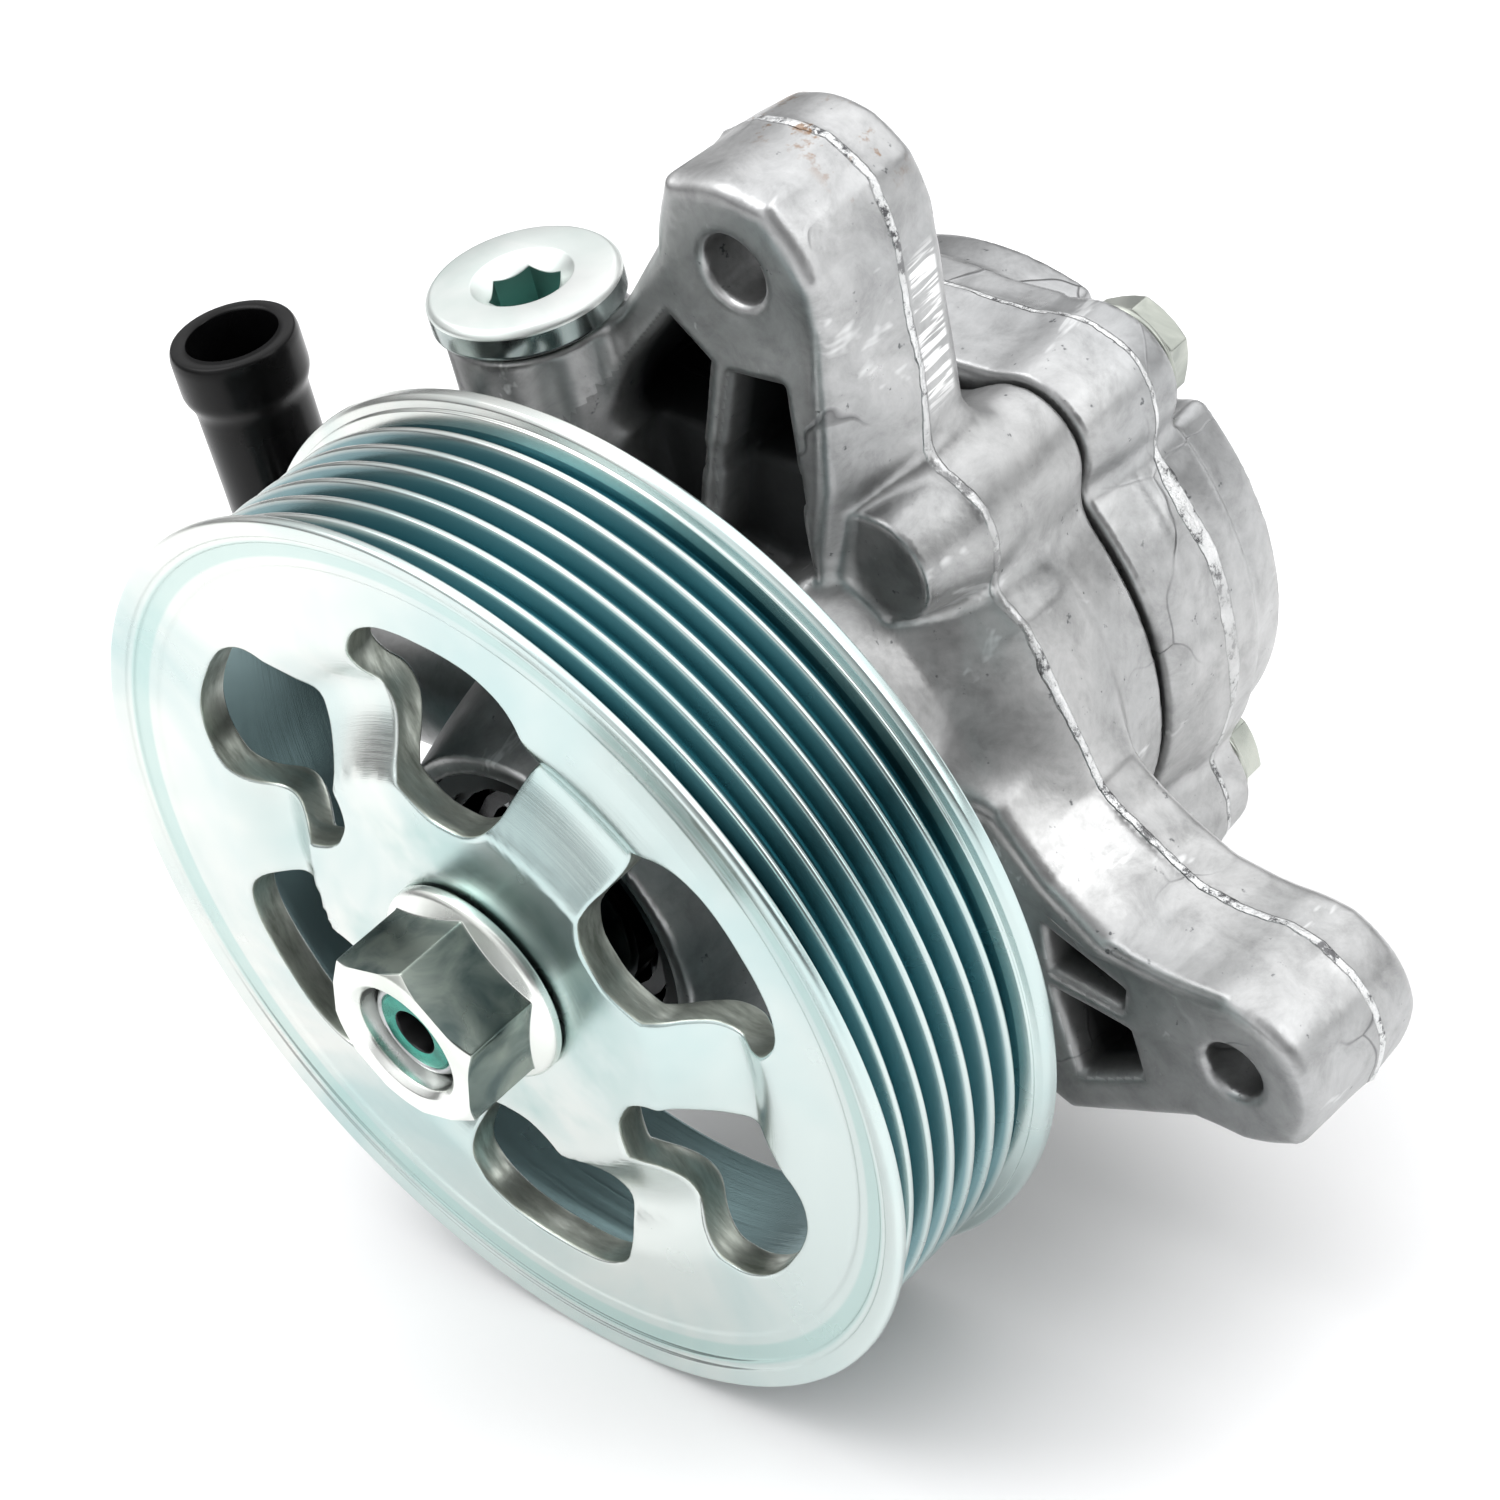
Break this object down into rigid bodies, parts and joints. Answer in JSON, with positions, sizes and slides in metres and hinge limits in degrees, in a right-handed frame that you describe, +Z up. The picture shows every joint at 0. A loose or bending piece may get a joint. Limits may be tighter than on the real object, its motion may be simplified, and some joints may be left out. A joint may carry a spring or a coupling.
{
  "type": "power steering pump",
  "caption": "Vane pump with a grooved belt pulley, cast housing with two mounting arms, rear cover, side valve plug and a black suction pipe.",
  "frame": {"origin": "the point where the shaft axis crosses the plane of the two mounting faces", "axes": "+Y along the drive shaft from the pulley to the rear cover, +Z up along the valve plug, +X towards the lower mounting arm"},
  "size_m": [0.1633, 0.1188, 0.1433],
  "materials": {
    "cast_aluminium": "satin die casting, blotchy and scratched",
    "zinc_plate": "bright zinc plating with a pale green tint",
    "steel": "ground",
    "black_plastic": "glossy",
    "rubber": "matte"
  },
  "bodies": {
    "pump_body": {"front_housing": "cast_aluminium", "rear_cover": "cast_aluminium", "suction_pipe": "black_plastic", "pipe_o_ring": "rubber", "valve_plug": "zinc_plate", "plug_o_ring": "rubber", "cover_seal": "rubber", "shaft_seal": "rubber", "bearing_outer_race": "steel", "bearing_snap_ring": "steel", "cam_ring": "steel", "front_side_plate": "steel", "pressure_plate": "steel", "preload_spring": "steel", "dowel_pin_1": "steel", "dowel_pin_2": "steel", "valve_spring": "steel", "cover_bolt_1": "zinc_plate", "cover_bolt_2": "zinc_plate", "cover_bolt_3": "zinc_plate", "cover_bolt_4": "zinc_plate"},
    "shaft_assembly": {"drive_shaft": "steel", "bearing_inner_race": "steel", "pulley": "zinc_plate", "pulley_nut": "zinc_plate", "rotor": "steel"},
    "bearing_cage": {"bearing_cage": "steel", "bearing_ball_1": "steel", "bearing_ball_2": "steel", "bearing_ball_3": "steel", "bearing_ball_4": "steel", "bearing_ball_5": "steel", "bearing_ball_6": "steel", "bearing_ball_7": "steel", "bearing_ball_8": "steel"},
    "valve_spool": {"valve_spool": "steel"},
    "vane_1": {"vane_1": "steel"},
    "vane_2": {"vane_2": "steel"},
    "vane_3": {"vane_3": "steel"},
    "vane_4": {"vane_4": "steel"},
    "vane_5": {"vane_5": "steel"},
    "vane_6": {"vane_6": "steel"},
    "vane_7": {"vane_7": "steel"},
    "vane_8": {"vane_8": "steel"},
    "vane_9": {"vane_9": "steel"},
    "vane_10": {"vane_10": "steel"}
  },
  "joints": [
    {"name": "shaft_spin", "type": "hinge", "parent": "pump_body", "child": "shaft_assembly", "pos_m": [0, 0, 0], "axis": [0, 1, 0], "continuous": true},
    {"name": "cage_spin", "type": "hinge", "parent": "pump_body", "child": "bearing_cage", "pos_m": [0, 0, 0], "axis": [0, 1, 0], "continuous": true},
    {"name": "spool_slide", "type": "slide", "parent": "pump_body", "child": "valve_spool", "axis": [0, 0, 1], "range_m": [0, 0.006], "stiffness_N_per_m": 2000, "springref_m": -0.002, "deforming": ["valve_spring"]},
    {"name": "vane_1_slide", "type": "slide", "parent": "shaft_assembly", "child": "vane_1", "axis": [0.9511, 0, 0.309], "range_m": [-0.0018, 0]},
    {"name": "vane_2_slide", "type": "slide", "parent": "shaft_assembly", "child": "vane_2", "axis": [0.5878, 0, 0.809], "range_m": [-0.0018, 0]},
    {"name": "vane_3_slide", "type": "slide", "parent": "shaft_assembly", "child": "vane_3", "axis": [0, 0, 1], "range_m": [-0.0018, 0]},
    {"name": "vane_4_slide", "type": "slide", "parent": "shaft_assembly", "child": "vane_4", "axis": [-0.5878, 0, 0.809], "range_m": [-0.0018, 0]},
    {"name": "vane_5_slide", "type": "slide", "parent": "shaft_assembly", "child": "vane_5", "axis": [-0.9511, 0, 0.309], "range_m": [-0.0018, 0]},
    {"name": "vane_6_slide", "type": "slide", "parent": "shaft_assembly", "child": "vane_6", "axis": [-0.9511, 0, -0.309], "range_m": [-0.0018, 0]},
    {"name": "vane_7_slide", "type": "slide", "parent": "shaft_assembly", "child": "vane_7", "axis": [-0.5878, 0, -0.809], "range_m": [-0.0018, 0]},
    {"name": "vane_8_slide", "type": "slide", "parent": "shaft_assembly", "child": "vane_8", "axis": [0, 0, -1], "range_m": [-0.0018, 0]},
    {"name": "vane_9_slide", "type": "slide", "parent": "shaft_assembly", "child": "vane_9", "axis": [0.5878, 0, -0.809], "range_m": [-0.0018, 0]},
    {"name": "vane_10_slide", "type": "slide", "parent": "shaft_assembly", "child": "vane_10", "axis": [0.9511, 0, -0.309], "range_m": [-0.0018, 0]}
  ],
  "couplings": [
    {"joint": "cage_spin", "follows": "shaft_spin", "ratio": 0.3912}
  ]
}
